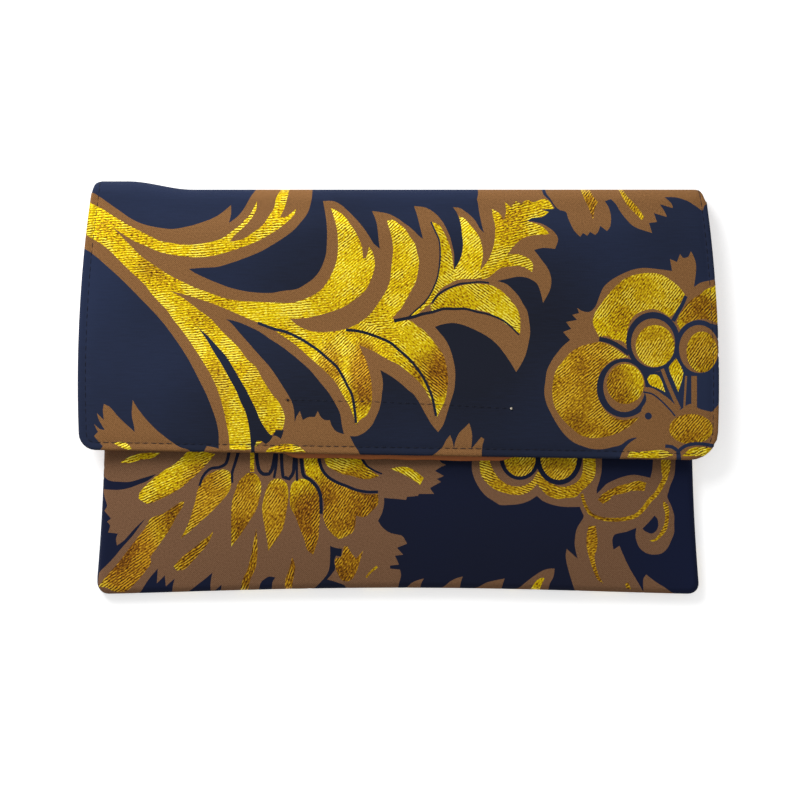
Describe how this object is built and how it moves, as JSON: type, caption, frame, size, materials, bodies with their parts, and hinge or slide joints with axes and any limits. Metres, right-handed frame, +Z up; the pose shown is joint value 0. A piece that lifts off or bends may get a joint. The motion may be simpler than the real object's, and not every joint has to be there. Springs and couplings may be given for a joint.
{
  "type": "envelope clutch bag",
  "caption": "Flat envelope clutch bag in navy brocade with bronze and gold foliage, its wide fold-over flap closed over a satin-lined pocket.",
  "frame": {"origin": "on the ground under the middle of the bag, which lies on its back panel", "axes": "+X to the right of someone looking down at the flap, +Y towards the flap's fold, +Z up out of the flap"},
  "size_m": [0.3, 0.1931, 0.017],
  "materials": {
    "brocade": "navy plain weave with woven bronze twill and gold metallic foliage",
    "lining_satin": "rust orange lining satin",
    "interlining": "white stiff non-woven",
    "closure_tape": "navy hook and loop tape"
  },
  "bodies": {
    "root": {"back_and_flap_cloth": "brocade", "front_cloth": "brocade", "back_and_flap_lining": "lining_satin", "front_lining": "lining_satin", "back_interlining": "interlining", "front_interlining": "interlining", "flap_interlining": "interlining", "loop_tape": "closure_tape", "hook_tape": "closure_tape"}
  },
  "joints": []
}
